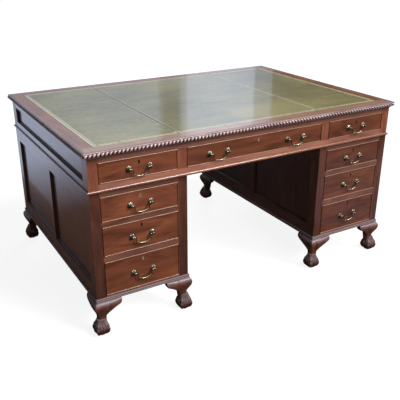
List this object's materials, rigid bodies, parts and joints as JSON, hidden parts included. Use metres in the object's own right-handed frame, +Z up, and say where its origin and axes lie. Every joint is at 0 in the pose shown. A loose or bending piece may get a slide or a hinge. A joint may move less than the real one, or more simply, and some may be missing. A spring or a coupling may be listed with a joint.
{
  "type": "pedestal writing desk",
  "caption": "Mahogany pedestal writing desk with drawers in the frieze and both pedestals, a leather writing top, brass bail handles and ball-and-claw feet.",
  "frame": {"origin": "on the floor under the middle of the desk", "axes": "+X to the right seen from the drawers' side, +Y from the drawers to the back, +Z up"},
  "size_m": [1.524, 1.067, 0.772],
  "materials": {
    "mahogany": "french polish, glossy",
    "lining_oak": "bare planed oak",
    "leather": "waxed hide with gilt tooled lines",
    "brass": "antique brass"
  },
  "bodies": {
    "desk": {"base_mouldings": "mahogany", "centre_leather": "leather", "drawer_runners": "lining_oak", "edge_moulding": "mahogany", "frieze_end_rails": "mahogany", "frieze_long_rails": "mahogany", "frieze_panels": "mahogany", "frieze_posts": "mahogany", "inner_boards": "lining_oak", "left_claw_feet": "mahogany", "left_leather": "leather", "left_pedestal_posts": "mahogany", "locating_dowels": "lining_oak", "panel_beads": "mahogany", "pedestal_cross_rails": "mahogany", "pedestal_panels": "mahogany", "pedestal_side_rails": "mahogany", "right_claw_feet": "mahogany", "right_leather": "leather", "right_pedestal_posts": "mahogany", "top_border": "mahogany", "top_panel": "lining_oak", "waist_moulding": "mahogany"},
    "frieze_left_drawer": {"frieze_left_drawer_box": "lining_oak", "frieze_left_drawer_brass": "brass", "frieze_left_drawer_front": "mahogany"},
    "frieze_centre_drawer": {"frieze_centre_drawer_box": "lining_oak", "frieze_centre_drawer_brass": "brass", "frieze_centre_drawer_front": "mahogany"},
    "frieze_right_drawer": {"frieze_right_drawer_box": "lining_oak", "frieze_right_drawer_brass": "brass", "frieze_right_drawer_front": "mahogany"},
    "left_upper_drawer": {"left_upper_drawer_box": "lining_oak", "left_upper_drawer_brass": "brass", "left_upper_drawer_front": "mahogany"},
    "left_middle_drawer": {"left_middle_drawer_box": "lining_oak", "left_middle_drawer_brass": "brass", "left_middle_drawer_front": "mahogany"},
    "left_lower_drawer": {"left_lower_drawer_box": "lining_oak", "left_lower_drawer_brass": "brass", "left_lower_drawer_front": "mahogany"},
    "right_upper_drawer": {"right_upper_drawer_box": "lining_oak", "right_upper_drawer_brass": "brass", "right_upper_drawer_front": "mahogany"},
    "right_middle_drawer": {"right_middle_drawer_box": "lining_oak", "right_middle_drawer_brass": "brass", "right_middle_drawer_front": "mahogany"},
    "right_lower_drawer": {"right_lower_drawer_box": "lining_oak", "right_lower_drawer_brass": "brass", "right_lower_drawer_front": "mahogany"},
    "frieze_centre_left_bail": {"frieze_centre_left_bail": "brass"},
    "frieze_centre_right_bail": {"frieze_centre_right_bail": "brass"},
    "frieze_left_bail": {"frieze_left_bail": "brass"},
    "frieze_right_bail": {"frieze_right_bail": "brass"},
    "left_lower_bail": {"left_lower_bail": "brass"},
    "left_middle_bail": {"left_middle_bail": "brass"},
    "left_upper_bail": {"left_upper_bail": "brass"},
    "right_lower_bail": {"right_lower_bail": "brass"},
    "right_middle_bail": {"right_middle_bail": "brass"},
    "right_upper_bail": {"right_upper_bail": "brass"}
  },
  "joints": [
    {"name": "frieze_left_slide", "type": "slide", "parent": "desk", "child": "frieze_left_drawer", "axis": [0, -1, 0], "range_m": [0, 0.56]},
    {"name": "frieze_centre_slide", "type": "slide", "parent": "desk", "child": "frieze_centre_drawer", "axis": [0, -1, 0], "range_m": [0, 0.56]},
    {"name": "frieze_right_slide", "type": "slide", "parent": "desk", "child": "frieze_right_drawer", "axis": [0, -1, 0], "range_m": [0, 0.56]},
    {"name": "left_upper_slide", "type": "slide", "parent": "desk", "child": "left_upper_drawer", "axis": [0, -1, 0], "range_m": [0, 0.56]},
    {"name": "left_middle_slide", "type": "slide", "parent": "desk", "child": "left_middle_drawer", "axis": [0, -1, 0], "range_m": [0, 0.56]},
    {"name": "left_lower_slide", "type": "slide", "parent": "desk", "child": "left_lower_drawer", "axis": [0, -1, 0], "range_m": [0, 0.56]},
    {"name": "right_upper_slide", "type": "slide", "parent": "desk", "child": "right_upper_drawer", "axis": [0, -1, 0], "range_m": [0, 0.56]},
    {"name": "right_middle_slide", "type": "slide", "parent": "desk", "child": "right_middle_drawer", "axis": [0, -1, 0], "range_m": [0, 0.56]},
    {"name": "right_lower_slide", "type": "slide", "parent": "desk", "child": "right_lower_drawer", "axis": [0, -1, 0], "range_m": [0, 0.56]},
    {"name": "frieze_left_bail_hinge", "type": "hinge", "parent": "frieze_left_drawer", "child": "frieze_left_bail", "pos_m": [-0.54, -0.5255, 0.682], "axis": [-1, 0, 0], "range_deg": [0, 110]},
    {"name": "frieze_centre_left_bail_hinge", "type": "hinge", "parent": "frieze_centre_drawer", "child": "frieze_centre_left_bail", "pos_m": [-0.193, -0.5255, 0.682], "axis": [-1, 0, 0], "range_deg": [0, 110]},
    {"name": "frieze_centre_right_bail_hinge", "type": "hinge", "parent": "frieze_centre_drawer", "child": "frieze_centre_right_bail", "pos_m": [0.193, -0.5255, 0.682], "axis": [-1, 0, 0], "range_deg": [0, 110]},
    {"name": "frieze_right_bail_hinge", "type": "hinge", "parent": "frieze_right_drawer", "child": "frieze_right_bail", "pos_m": [0.54, -0.5255, 0.682], "axis": [-1, 0, 0], "range_deg": [0, 110]},
    {"name": "left_upper_bail_hinge", "type": "hinge", "parent": "left_upper_drawer", "child": "left_upper_bail", "pos_m": [-0.54, -0.5255, 0.537], "axis": [-1, 0, 0], "range_deg": [0, 110]},
    {"name": "left_middle_bail_hinge", "type": "hinge", "parent": "left_middle_drawer", "child": "left_middle_bail", "pos_m": [-0.54, -0.5255, 0.405], "axis": [-1, 0, 0], "range_deg": [0, 110]},
    {"name": "left_lower_bail_hinge", "type": "hinge", "parent": "left_lower_drawer", "child": "left_lower_bail", "pos_m": [-0.54, -0.5255, 0.246], "axis": [-1, 0, 0], "range_deg": [0, 110]},
    {"name": "right_upper_bail_hinge", "type": "hinge", "parent": "right_upper_drawer", "child": "right_upper_bail", "pos_m": [0.54, -0.5255, 0.537], "axis": [-1, 0, 0], "range_deg": [0, 110]},
    {"name": "right_middle_bail_hinge", "type": "hinge", "parent": "right_middle_drawer", "child": "right_middle_bail", "pos_m": [0.54, -0.5255, 0.405], "axis": [-1, 0, 0], "range_deg": [0, 110]},
    {"name": "right_lower_bail_hinge", "type": "hinge", "parent": "right_lower_drawer", "child": "right_lower_bail", "pos_m": [0.54, -0.5255, 0.246], "axis": [-1, 0, 0], "range_deg": [0, 110]}
  ]
}
